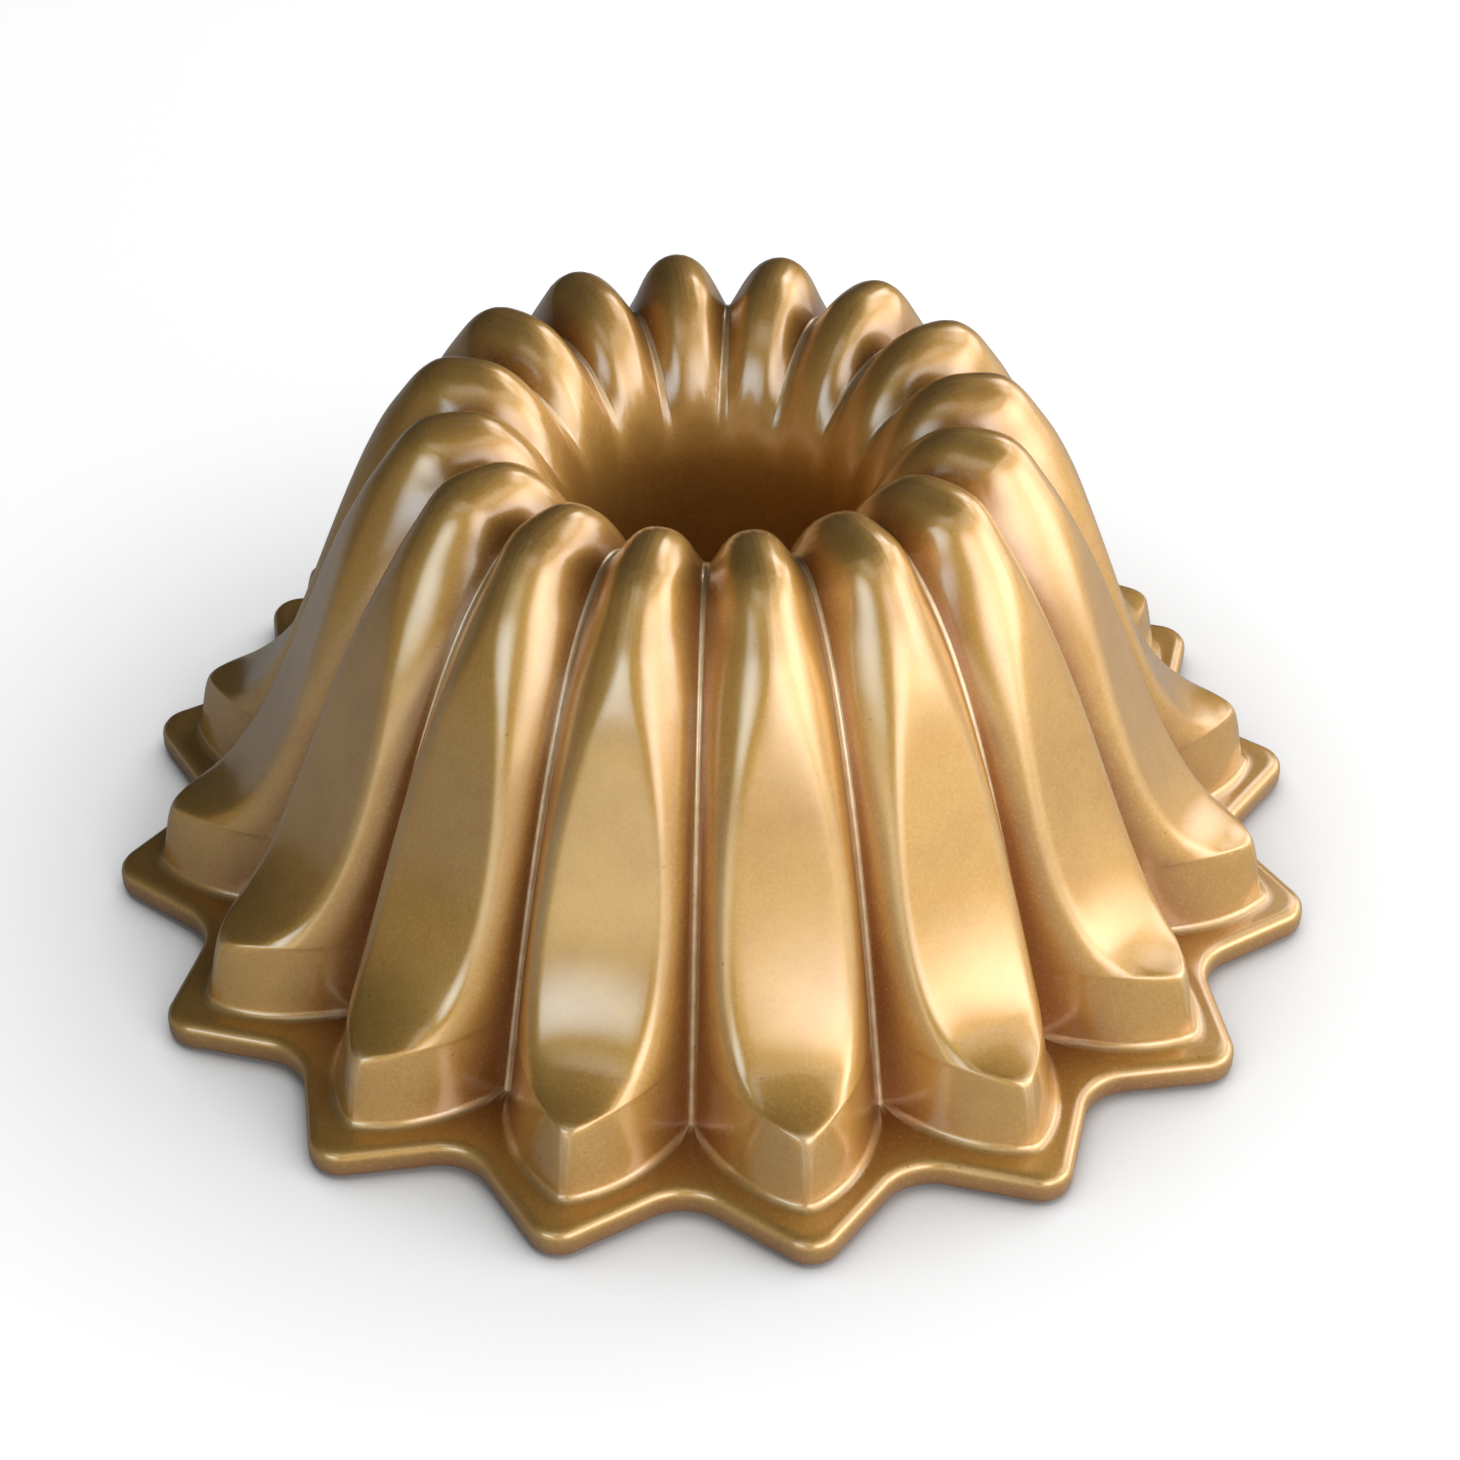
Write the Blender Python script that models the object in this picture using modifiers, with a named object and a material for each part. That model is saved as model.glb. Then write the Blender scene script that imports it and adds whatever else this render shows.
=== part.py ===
"""Fluted tube pan, standing upside down on its rim.

The real pan is one aluminium casting: a flat star-shaped rim flange, a wall of
sixteen fluted petals over it, the petals' round crown, and a centre tube. These
four regions are made as four solids that meet face to face on three level planes.

Units are metres and +Z is up. The origin is the centre of the plane that the rim
rests on, and a valley between two petals lies over each of the X and Y axes.
Profiles are drawn in the (radius, height) plane. A petal's own frame has X along
its ridge, Y across it and Z up.
"""

import math

import bmesh
import bpy
import numpy as np

# Petals and wall
PETALS = 16
WALL = 0.0032

# Rim flange
FLANGE_THICKNESS = 0.0071
FLANGE_TIP_RADIUS = 0.1365
FLANGE_VALLEY_RADIUS = 0.1158
FLANGE_TIP_FILLET = 0.0069
FLANGE_VALLEY_FILLET = 0.0114
FLANGE_EDGE_ROUND = 0.0017

# Skirt, the steep wall between the flange and the panels
SKIRT_VALLEY_RADIUS = 0.0989
SKIRT_TIP_RADIUS = 0.1241
SKIRT_HEIGHT = 0.0165
SKIRT_TOP_TIP_RADIUS = 0.1208
SKIRT_FILLET = 0.0018
SKIRT_FILLET_GAP_SHARE = 0.8
SKIRT_VALLEY_FLARE = 0.0004
SKIRT_TIP_HALF_WIDTH = 0.0021
SKIRT_TIP_WALL_ANGLE = math.radians(62.0)

# Leaf-shaped panel cut into each petal
PANEL_APEX_RADIUS = 0.0708
PANEL_APEX_HEIGHT = 0.1049
PANEL_FOOT_SLOPE = math.radians(2.0)
PANEL_FOOT_REACH = 0.0280
PANEL_APEX_SLOPE = math.radians(54.0)
PANEL_APEX_REACH = 0.0265
PANEL_FOOT_FULLNESS = 0.0074
PANEL_APEX_FULLNESS = 0.0232
PANEL_WALL_ANGLE = math.radians(50.0)

# Run of the side wall between the valley and the flat
SECTION_HANDLE = 0.35
EDGE_FADE_POWER = 6

# Crown of the petals
CROWN_RADIUS = 0.0519
CROWN_HEIGHT = 0.1172
CROWN_OUTER_REACH = 0.0119
CROWN_INNER_REACH = 0.0147
CREST_HALF_WIDTH = 0.0015
CREST_RADIUS = 0.0070

# Valleys between the petals
VALLEY_FOOT_SLOPE = math.radians(75.0)
VALLEY_FOOT_REACH = 0.0637
SADDLE_RADIUS = 0.0494
SADDLE_HEIGHT = 0.1074
SADDLE_OUTER_REACH = 0.0154
SADDLE_INNER_REACH = 0.0098

# Level plane where the crown meets the wall
CROWN_JOINT_HEIGHT = 0.0893

# Grooves between the petals
GROOVE_ANGLE = math.radians(26.0)
GROOVE_FILLET_WIDTH = 0.0013
GROOVE_OPENING_STATION = 2.3
GROOVE_STEEPNESS = 1.05

# Centre tube
TUBE_TOP_RADIUS = 0.0284
TUBE_TOP_HEIGHT = 0.0819
TUBE_END_RADIUS = 0.0210
TUBE_END_HEIGHT = 0.0053
TUBE_END_BEVEL = 0.0008
RIDGE_TUBE_REACH = 0.0082
VALLEY_TUBE_REACH = 0.0111

# Mesh resolution
WALL_COLUMNS = (0.32, 0.66)
STAR_ARC_STEPS = 2
SKIRT_ROWS = 2
PANEL_ROWS = 8
PANEL_ROW_CROWDING = 1.4
APEX_ROWS = 2
CROWN_ROWS = 5
TUBE_ROWS = 5
INNER_TOP_ROWS = 8
INNER_PANEL_ROWS = 4
INNER_FOOT_STATION = 1.22
BORE_STEPS = 80
SHARP_ANGLE = math.radians(35.0)

HALF_PITCH = math.pi / PETALS
SKIRT_TOP = FLANGE_THICKNESS + SKIRT_HEIGHT
TUBE_SLOPE = math.atan2(TUBE_TOP_HEIGHT - TUBE_END_HEIGHT, TUBE_TOP_RADIUS - TUBE_END_RADIUS)


def polar_step(start, reach, slope):
    """The point a distance away from start, rising at a slope towards the axis."""
    return (start[0] - reach * math.cos(slope), start[1] + reach * math.sin(slope))


def bezier(points, t):
    """Point or points of a cubic curve at the parameter t."""
    t = np.asarray(t, dtype=float)[..., None]
    p0, p1, p2, p3 = (np.array(p, dtype=float) for p in points)
    return (1 - t) ** 3 * p0 + 3 * (1 - t) ** 2 * t * p1 + 3 * (1 - t) * t * t * p2 + t ** 3 * p3


SKIRT_FOOT = (SKIRT_TIP_RADIUS, FLANGE_THICKNESS)
PANEL_FOOT = (SKIRT_TOP_TIP_RADIUS, SKIRT_TOP)
PANEL_APEX = (PANEL_APEX_RADIUS, PANEL_APEX_HEIGHT)
CROWN = (CROWN_RADIUS, CROWN_HEIGHT)
VALLEY_FOOT = (SKIRT_VALLEY_RADIUS, FLANGE_THICKNESS)
SADDLE = (SADDLE_RADIUS, SADDLE_HEIGHT)
TUBE_TOP = (TUBE_TOP_RADIUS, TUBE_TOP_HEIGHT)

PANEL_CURVE = (
    PANEL_FOOT,
    polar_step(PANEL_FOOT, PANEL_FOOT_REACH, PANEL_FOOT_SLOPE),
    polar_step(PANEL_APEX, -PANEL_APEX_REACH, PANEL_APEX_SLOPE),
    PANEL_APEX,
)
CROWN_CURVE = (
    PANEL_APEX,
    polar_step(PANEL_APEX, CROWN_OUTER_REACH, PANEL_APEX_SLOPE),
    (CROWN_RADIUS + CROWN_OUTER_REACH, CROWN_HEIGHT),
    CROWN,
)
RIDGE_TUBE_CURVE = (
    CROWN,
    (CROWN_RADIUS - CROWN_INNER_REACH, CROWN_HEIGHT),
    polar_step(TUBE_TOP, -RIDGE_TUBE_REACH, -TUBE_SLOPE),
    TUBE_TOP,
)
VALLEY_CURVE = (
    VALLEY_FOOT,
    polar_step(VALLEY_FOOT, VALLEY_FOOT_REACH, VALLEY_FOOT_SLOPE),
    (SADDLE_RADIUS + SADDLE_OUTER_REACH, SADDLE_HEIGHT),
    SADDLE,
)
VALLEY_TUBE_CURVE = (
    SADDLE,
    (SADDLE_RADIUS - SADDLE_INNER_REACH, SADDLE_HEIGHT),
    polar_step(TUBE_TOP, -VALLEY_TUBE_REACH, -TUBE_SLOPE),
    TUBE_TOP,
)


def valley_parameter(height):
    """Parameter of the outer valley curve at a height."""
    t = np.linspace(0.0, 1.0, 401)
    return float(np.interp(height, bezier(VALLEY_CURVE, t)[:, 1], t))


def panel_station(height):
    """Station on the panel whose level row is at a height."""
    t = np.linspace(0.0, 1.0, 401)
    return 1.0 + float(np.interp(height, bezier(PANEL_CURVE, t)[:, 1], t))


def guide_points(station):
    """Valley point, ridge point and half width of the flat along a petal.

    A station from 0 to 1 is on the skirt, from 1 to 2 on the panel, from 2 to 3
    on the crown and from 3 to 4 on the way down to the tube.
    """
    part = min(int(station), 3)
    t = station - part
    if part == 0:
        height = FLANGE_THICKNESS + SKIRT_HEIGHT * t
        radius = SKIRT_TIP_RADIUS + (SKIRT_TOP_TIP_RADIUS - SKIRT_TIP_RADIUS) * t
        valley = bezier(VALLEY_CURVE, valley_parameter(height))
        return valley, np.array([radius, height]), SKIRT_TIP_HALF_WIDTH
    if part == 1:
        ridge = bezier(PANEL_CURVE, t)
        valley = bezier(VALLEY_CURVE, valley_parameter(ridge[1]))
        u = math.sqrt(t)
        leaf = 3 * (1 - u) ** 2 * u * PANEL_FOOT_FULLNESS + 3 * (1 - u) * u * u * PANEL_APEX_FULLNESS
        least = SKIRT_TIP_HALF_WIDTH + (CREST_HALF_WIDTH - SKIRT_TIP_HALF_WIDTH) * t
        return valley, ridge, math.hypot(leaf, least)
    if part == 2:
        start = valley_parameter(PANEL_APEX_HEIGHT)
        valley = bezier(VALLEY_CURVE, start + (1.0 - start) * t)
        return valley, bezier(CROWN_CURVE, t), CREST_HALF_WIDTH
    return bezier(VALLEY_TUBE_CURVE, t), bezier(RIDGE_TUBE_CURVE, t), CREST_HALF_WIDTH


def blend(low, high, share):
    """Straight blend between two values, with the share kept from 0 to 1."""
    share = min(max(share, 0.0), 1.0)
    return low + (high - low) * share


def half_section(station):
    """The wall curve and the ridge point of half a petal section, in the petal's frame.

    The wall leaves the valley close to the line towards the ridge, so that the
    valleys are narrow grooves, and arrives at the edge of the flat at an angle.
    """
    valley, ridge, half_width = guide_points(station)
    rise = ridge - valley
    height = math.hypot(*rise)
    along = rise / height if height > 1e-9 else np.zeros(2)
    fade = min(1.0, height / (CROWN_HEIGHT - SADDLE_HEIGHT))
    crest_angle = math.pi / 2 - math.asin(CREST_HALF_WIDTH / CREST_RADIUS) * fade
    open_angle = math.atan2(valley[0] * HALF_PITCH, GROOVE_STEEPNESS * height)
    groove = blend(GROOVE_ANGLE, open_angle, station - GROOVE_OPENING_STATION)
    to_foot = max(0.0, 2.0 - station) ** EDGE_FADE_POWER if station > 1.0 else 1.0
    to_apex = max(0.0, station - 1.0) ** EDGE_FADE_POWER if station < 2.0 else 1.0
    edge = PANEL_WALL_ANGLE
    edge += (SKIRT_TIP_WALL_ANGLE - PANEL_WALL_ANGLE) * max(0.0, 1.0 - station)
    edge += (crest_angle - PANEL_WALL_ANGLE) * to_apex
    roundness = max(to_foot, to_apex)
    sag = half_width * math.tan((math.pi / 2 - edge) / 2) * roundness
    start = np.array([
        valley[0] * math.cos(HALF_PITCH), valley[0] * math.sin(HALF_PITCH), valley[1]])
    end = np.array([ridge[0] - along[0] * sag, half_width, ridge[1] - along[1] * sag])
    leave = math.cos(groove) * np.array([
        along[0] * math.cos(HALF_PITCH), along[0] * math.sin(HALF_PITCH), along[1]])
    leave += math.sin(groove) * np.array([math.sin(HALF_PITCH), -math.cos(HALF_PITCH), 0.0])
    arrive = np.array([math.cos(edge) * along[0], -math.sin(edge), math.cos(edge) * along[1]])
    handle = SECTION_HANDLE * np.linalg.norm(end - start)
    wall = (start, start + handle * leave, end - handle * arrive, end)
    return wall, np.array([ridge[0], 0.0, ridge[1]])


def wall_normal(station, t):
    """Outward normal of the petal's side wall."""
    step = 1e-3
    low = min(max(station - step, 0.0), 4.0 - 2 * step)
    up = bezier(half_section(low + 2 * step)[0], t) - bezier(half_section(low)[0], t)
    near = min(max(t - step, 0.0), 1.0 - 2 * step)
    wall = half_section(station)[0]
    across = bezier(wall, near + 2 * step) - bezier(wall, near)
    normal = np.cross(up, across)
    return normal / np.linalg.norm(normal)


def profile_normals(station):
    """Outward normals of the valley line and the ridge line, in the petal's frame."""
    step = 1e-3
    low = min(max(station - step, 0.0), 4.0 - 2 * step)
    valley_run = guide_points(low + 2 * step)[0] - guide_points(low)[0]
    ridge_run = guide_points(low + 2 * step)[1] - guide_points(low)[1]
    valley_run /= np.linalg.norm(valley_run)
    ridge_run /= np.linalg.norm(ridge_run)
    valley_normal = np.array([
        valley_run[1] * math.cos(HALF_PITCH), valley_run[1] * math.sin(HALF_PITCH), -valley_run[0]])
    return valley_normal, np.array([ridge_run[1], 0.0, -ridge_run[0]])


def wall_shares(wall):
    """Parameters of the columns on a wall: groove, groove fillet, wall and panel edge."""
    handle = np.linalg.norm(wall[1] - wall[0])
    groove = GROOVE_FILLET_WIDTH / (3 * handle)
    return [0.0, groove] + [groove + (1.0 - groove) * share for share in WALL_COLUMNS] + [1.0]


def outer_row(station):
    """Half a row of the outer surface, from the valley to the ridge."""
    wall, ridge = half_section(station)
    return [bezier(wall, t) for t in wall_shares(wall)] + [ridge]


def inner_row(station, level=False):
    """Half a row of the inner surface, one wall thickness inside the outer one.

    A level row keeps the height of its outer row, where two solids meet.
    """
    wall, ridge = half_section(station)
    shares = wall_shares(wall)
    valley_normal, ridge_normal = profile_normals(station)
    edge_normal = wall_normal(station, 1.0)
    points = [bezier(wall, t) for t in shares] + [ridge]
    normals = [valley_normal]
    normals += [wall_normal(station, t) for t in shares[1:-1]]
    normals += [(edge_normal + ridge_normal) / (1.0 + edge_normal @ ridge_normal), ridge_normal]
    row = []
    for point, normal in zip(points, normals):
        if level:
            flat = normal * np.array([1.0, 1.0, 0.0])
            normal = flat * (normal @ normal) / (flat @ flat)
        row.append(point - WALL * normal)
    return row


def ring_loop(half_row):
    """A closed loop round the pan from half a petal row, mirrored and repeated."""
    mirrored = [point * np.array([1.0, -1.0, 1.0]) for point in half_row]
    petal = mirrored + half_row[-2:0:-1]
    loop = []
    for index in range(PETALS):
        angle = (2 * index + 1) * HALF_PITCH
        cos, sin = math.cos(angle), math.sin(angle)
        loop += [(x * cos - y * sin, x * sin + y * cos, z) for x, y, z in petal]
    return loop


def ring_mesh(name, loops):
    """A closed ring-shaped solid, lofted through loops that go round its section."""
    mesh = bpy.data.meshes.new(name)
    bm = bmesh.new()
    rows = [[bm.verts.new(point) for point in loop] for loop in loops]
    count = len(rows[0])
    for low, high in zip(rows, rows[1:] + rows[:1]):
        for j in range(count):
            k = (j + 1) % count
            bm.faces.new((low[j], low[k], high[k], high[j]))
    bm.to_mesh(mesh)
    bm.free()
    mesh.shade_smooth()
    mesh.set_sharp_from_angle(angle=SHARP_ANGLE)
    return mesh


def star_half_outline(inset):
    """Half a point of the rim star, from the valley to the tip, in the petal's frame."""
    tip = np.array([FLANGE_TIP_RADIUS, 0.0])
    valley = FLANGE_VALLEY_RADIUS * np.array([math.cos(HALF_PITCH), math.sin(HALF_PITCH)])
    side = (tip - valley) / np.linalg.norm(tip - valley)
    normal = np.array([-side[1], side[0]])
    side_angle = math.atan2(normal[1], normal[0])
    valley_span = side_angle - HALF_PITCH
    tip_cut = FLANGE_TIP_FILLET * math.tan(side_angle)
    tip_centre = tip - side * tip_cut - normal * FLANGE_TIP_FILLET
    valley_cut = FLANGE_VALLEY_FILLET * math.tan(valley_span)
    valley_centre = valley + side * valley_cut + normal * FLANGE_VALLEY_FILLET
    outline = []
    for share in np.linspace(0.0, 1.0, STAR_ARC_STEPS + 1):
        angle = HALF_PITCH + math.pi + valley_span * share
        reach = FLANGE_VALLEY_FILLET + inset
        outline.append(valley_centre + reach * np.array([math.cos(angle), math.sin(angle)]))
    for share in np.linspace(1.0, 0.0, STAR_ARC_STEPS + 1):
        angle = side_angle * share
        reach = FLANGE_TIP_FILLET - inset
        outline.append(tip_centre + reach * np.array([math.cos(angle), math.sin(angle)]))
    return outline


def foot_row(half_row):
    """The skirt's bottom row, flared outwards by the fillet that meets the flange."""
    wall, _ = half_section(0.0)
    shares = wall_shares(wall)
    normals = [wall_normal(0.0, t) for t in shares]
    normals.append(profile_normals(0.0)[1])
    row = []
    for point, normal in zip(half_row, normals):
        flat = normal * np.array([1.0, 1.0, 0.0])
        flat /= np.linalg.norm(flat)
        gap = point[0] * math.sin(HALF_PITCH) - point[1] * math.cos(HALF_PITCH)
        row.append(point + flat * min(SKIRT_FILLET, SKIRT_FILLET_GAP_SHARE * gap))
    row[0] = half_row[0] * (1.0 + SKIRT_VALLEY_FLARE / SKIRT_VALLEY_RADIUS)
    row[0][2] = half_row[0][2]
    return row


def wall_loops():
    """Loops round the fluted wall: up outside to the crown's joint, and down inside."""
    joint = panel_station(CROWN_JOINT_HEIGHT)
    skirt = list(np.linspace(SKIRT_FILLET / SKIRT_HEIGHT, 1.0, SKIRT_ROWS))
    shares = np.linspace(0.0, 1.0, PANEL_ROWS + 1)[1:]
    panel = [1.0 + (joint - 1.0) * share ** PANEL_ROW_CROWDING for share in shares]
    outer = [foot_row(outer_row(0.0))] + [outer_row(station) for station in skirt + panel]
    under_panel = 1.0 - WALL / SKIRT_HEIGHT
    inner = [inner_row(joint, level=True)]
    stations = np.linspace(joint, INNER_FOOT_STATION, INNER_PANEL_ROWS + 1)[1:]
    inner += [inner_row(station) for station in stations]
    inner += [inner_row(station, level=True) for station in (under_panel, 0.0)]
    return [ring_loop(row) for row in outer + inner]


def crown_loops():
    """Loops round the crown: up outside, over the top, down to the tube, and back inside."""
    joint = panel_station(CROWN_JOINT_HEIGHT)
    apex = list(np.linspace(joint, 2.0, APEX_ROWS + 1))
    crown = list(np.linspace(2.0, 3.0, CROWN_ROWS + 1)[1:])
    tube = list(np.linspace(3.0, 4.0, TUBE_ROWS + 1)[1:])
    outer = [outer_row(station) for station in apex + crown + tube]
    inner = [inner_row(4.0, level=True)]
    inner += [inner_row(station) for station in np.linspace(4.0, 2.0, INNER_TOP_ROWS + 1)[1:]]
    inner.append(inner_row(joint, level=True))
    return [ring_loop(row) for row in outer + inner]


def flange_loops():
    """Loops round the rim flange: up its edge, in over the top, down the opening."""
    rim = []
    for angle in (math.pi / 2, math.pi / 4, 0.0):
        inset = FLANGE_EDGE_ROUND * (1.0 - math.cos(angle))
        rim.append((inset, FLANGE_EDGE_ROUND * (1.0 - math.sin(angle))))
    sections = rim + [(inset, FLANGE_THICKNESS - height) for inset, height in reversed(rim)]
    loops = []
    for inset, height in sections:
        loops.append([np.array([x, y, height]) for x, y in star_half_outline(inset)])
    top = inner_row(0.0, level=True)
    loops.append(top)
    loops.append([point * np.array([1.0, 1.0, 0.0]) for point in top])
    return [ring_loop(row) for row in loops]


def metal(name, colour):
    """The satin gold coating as a material."""
    material = bpy.data.materials.new(name)
    material.use_nodes = True
    shader = material.node_tree.nodes["Principled BSDF"]
    shader.inputs["Base Color"].default_value = (*colour, 1.0)
    shader.inputs["Metallic"].default_value = 0.9
    shader.inputs["Roughness"].default_value = 0.38
    return material


def add_object(name, mesh, collection, material):
    """Put a mesh in the collection as a named object with its material."""
    mesh.name = name
    mesh.materials.append(material)
    item = bpy.data.objects.new(name, mesh)
    collection.objects.link(item)
    return item


def centre_tube_mesh():
    """Open profile of the tube's wall, turned into a tube by its Screw modifier."""
    side = WALL / math.sin(TUBE_SLOPE)
    profile = [
        (TUBE_TOP_RADIUS + side, TUBE_TOP_HEIGHT),
        (TUBE_END_RADIUS + side, TUBE_END_HEIGHT + TUBE_END_BEVEL),
        (TUBE_END_RADIUS + side - TUBE_END_BEVEL, TUBE_END_HEIGHT),
        (TUBE_END_RADIUS + TUBE_END_BEVEL, TUBE_END_HEIGHT),
        (TUBE_END_RADIUS, TUBE_END_HEIGHT + TUBE_END_BEVEL),
        (TUBE_TOP_RADIUS, TUBE_TOP_HEIGHT),
    ]
    mesh = bpy.data.meshes.new("centre_tube")
    verts = [(radius, 0.0, height) for radius, height in profile]
    edges = [(index, (index + 1) % len(verts)) for index in range(len(verts))]
    mesh.from_pydata(verts, edges, [])
    return mesh


def turn(item):
    """Turn a profile once round the Z axis."""
    screw = item.modifiers.new("Turn", "SCREW")
    screw.steps = BORE_STEPS
    screw.render_steps = BORE_STEPS
    screw.use_merge_vertices = True
    screw.merge_threshold = 1e-5
    return screw


def build():
    """Build the pan."""
    for item in list(bpy.data.objects):
        bpy.data.objects.remove(item, do_unlink=True)
    collection = bpy.data.collections.new("fluted_tube_pan")
    bpy.context.scene.collection.children.link(collection)
    add_object("rim_flange", ring_mesh("rim_flange", flange_loops()), collection,
               metal("rim_gold", (0.50, 0.30, 0.12)))
    add_object("fluted_wall", ring_mesh("fluted_wall", wall_loops()), collection,
               metal("wall_gold", (0.56, 0.36, 0.15)))
    add_object("crown", ring_mesh("crown", crown_loops()), collection,
               metal("crown_gold", (0.56, 0.36, 0.15)))
    tube = add_object("centre_tube", centre_tube_mesh(), collection,
                      metal("tube_gold", (0.46, 0.28, 0.11)))
    turn(tube)


build()
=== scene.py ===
"""Looks of the fluted tube pan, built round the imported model.

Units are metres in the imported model's frame: +Z is up and the rim rests on z = 0.
The pan is one casting, so its four solids are dressed by one seamless skin, with
rounder fillets and edges than theirs. Profiles are drawn in the (radius, height)
plane. A petal's own frame has X along its ridge, Y across it and Z up.
"""

import math

import bpy
import numpy as np
from mathutils import Matrix, Vector


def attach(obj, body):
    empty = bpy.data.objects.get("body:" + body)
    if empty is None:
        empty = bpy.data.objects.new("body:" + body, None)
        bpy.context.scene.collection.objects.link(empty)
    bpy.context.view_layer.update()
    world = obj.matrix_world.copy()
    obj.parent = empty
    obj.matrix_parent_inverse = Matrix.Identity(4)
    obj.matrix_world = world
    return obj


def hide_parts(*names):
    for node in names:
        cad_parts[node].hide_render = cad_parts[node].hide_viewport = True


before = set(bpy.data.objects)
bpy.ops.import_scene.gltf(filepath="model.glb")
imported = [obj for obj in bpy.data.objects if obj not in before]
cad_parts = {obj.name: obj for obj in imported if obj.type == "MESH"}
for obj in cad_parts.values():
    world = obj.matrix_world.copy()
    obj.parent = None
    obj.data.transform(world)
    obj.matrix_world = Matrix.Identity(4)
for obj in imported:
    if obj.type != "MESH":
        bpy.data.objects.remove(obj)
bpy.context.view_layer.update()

# Petals and wall
PETALS = 16
WALL = 0.0032

# Rim flange
FLANGE_THICKNESS = 0.0071
FLANGE_TIP_RADIUS = 0.1363
FLANGE_VALLEY_RADIUS = 0.1158
FLANGE_TIP_FILLET = 0.0069
FLANGE_VALLEY_FILLET = 0.0114
FLANGE_EDGE_ROUND = 0.0023
MOUTH_ROUND = 0.0010

# Skirt, the steep wall between the flange and the panels
SKIRT_VALLEY_RADIUS = 0.0989
SKIRT_TIP_RADIUS = 0.1241
SKIRT_HEIGHT = 0.0165
SKIRT_TOP_TIP_RADIUS = 0.1208
SKIRT_FILLET = 0.0018
SKIRT_FILLET_GAP_SHARE = 0.55
SKIRT_TIP_HALF_WIDTH = 0.0021
SKIRT_TIP_WALL_ANGLE = math.radians(62.0)
SKIRT_TOP_ROUND = 0.0022
SKIRT_NOSE_ROUND = 0.0014

# Leaf-shaped panel cut into each petal
PANEL_APEX_RADIUS = 0.0708
PANEL_APEX_HEIGHT = 0.1049
PANEL_FOOT_SLOPE = math.radians(2.0)
PANEL_FOOT_REACH = 0.0280
PANEL_APEX_SLOPE = math.radians(54.0)
PANEL_APEX_REACH = 0.0265
PANEL_FOOT_FULLNESS = 0.0074
PANEL_APEX_FULLNESS = 0.0232
PANEL_WALL_ANGLE = math.radians(50.0)
PANEL_EDGE_ROUND = 0.0019
INNER_EDGE_ROUND = 0.0020
ROUND_TOP_SHARE = 0.6
ROUND_WALL_SHARE = 0.4

# Run of the side wall between the valley and the flat
SECTION_HANDLE = 0.35
FOOT_FADE_POWER = 6
APEX_FADE_POWER = 10

# Stations along a petal, counted from 0 at the skirt's foot
PANEL_START = 1.0
CROWN_START = 2.0
FUNNEL_START = 3.0
FUNNEL_END = 4.0
INNER_FOOT_STATION = 1.22

# Crown of the petals
CROWN_RADIUS = 0.0519
CROWN_HEIGHT = 0.1172
CROWN_OUTER_REACH = 0.0119
CROWN_INNER_REACH = 0.0147
CREST_HALF_WIDTH = 0.0015
CREST_RADIUS = 0.0070

# Grooves between the petals
VALLEY_FOOT_SLOPE = math.radians(75.0)
VALLEY_FOOT_REACH = 0.0637
SADDLE_RADIUS = 0.0494
SADDLE_HEIGHT = 0.1074
SADDLE_OUTER_REACH = 0.0154
SADDLE_INNER_REACH = 0.0098
GROOVE_ANGLE = math.radians(26.0)
GROOVE_FILLET_REACH = 0.0013
GROOVE_OPENING_STATION = 2.3
GROOVE_STEEPNESS = 1.05

# Centre tube
TUBE_TOP_RADIUS = 0.0284
TUBE_TOP_HEIGHT = 0.0819
TUBE_END_RADIUS = 0.0210
TUBE_END_HEIGHT = 0.0053
RIDGE_TUBE_REACH = 0.0082
VALLEY_TUBE_REACH = 0.0111

# Points along half a row of the skin
WALL_SAMPLES = 48
GROOVE_POINTS = 4
WALL_POINTS = 9
EDGE_POINTS = 5
TOP_SAMPLES = 12
TOP_POINTS = 5
ROW_POINTS = GROOVE_POINTS + WALL_POINTS + EDGE_POINTS + TOP_POINTS
INNER_TRIM_MARGIN = 1.15

# Rows of the skin
ARC_ROWS = 5
FLANGE_TOP_ROWS = 3
FLANGE_UNDER_ROWS = 2
SKIRT_ROWS = 5
CORNER_ROWS = 7
PANEL_ROWS = 64
PANEL_ROW_CROWDING = 0.6
CROWN_ROWS = 40
FUNNEL_ROWS = 24
TUBE_ROWS = 12
INNER_TOP_ROWS = 24
INNER_PANEL_ROWS = 16
INNER_CORNER_ROWS = 2
INNER_SKIRT_ROWS = 2
MOUTH_ROWS = 1

# Stations between which bends along the petal are softened, and how often
APEX_EASE_START = 1.85
APEX_EASE_END = 2.6
APEX_EASE_PASSES = 22
FOOT_EASE_START = 0.75
FOOT_EASE_END = 1.16
FOOT_EASE_PASSES = 10

# Radius at which an edge or a groove counts as fully sharp
SHARP_BEND_RADIUS = 0.0012

# Step along a petal or a section over which its normals are measured
NORMAL_STEP = 1e-3

# Lower limits that keep a division safe
LEAST_RISE = 1e-9
LEAST_STEP_SQUARED = 1e-12

HALF_PITCH = math.pi / PETALS
SKIRT_TOP = FLANGE_THICKNESS + SKIRT_HEIGHT
TUBE_SLOPE = math.atan2(TUBE_TOP_HEIGHT - TUBE_END_HEIGHT, TUBE_TOP_RADIUS - TUBE_END_RADIUS)


def polar_step(start, reach, slope):
    """The point a distance away from start, rising at a slope towards the axis."""
    return (start[0] - reach * math.cos(slope), start[1] + reach * math.sin(slope))


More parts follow.
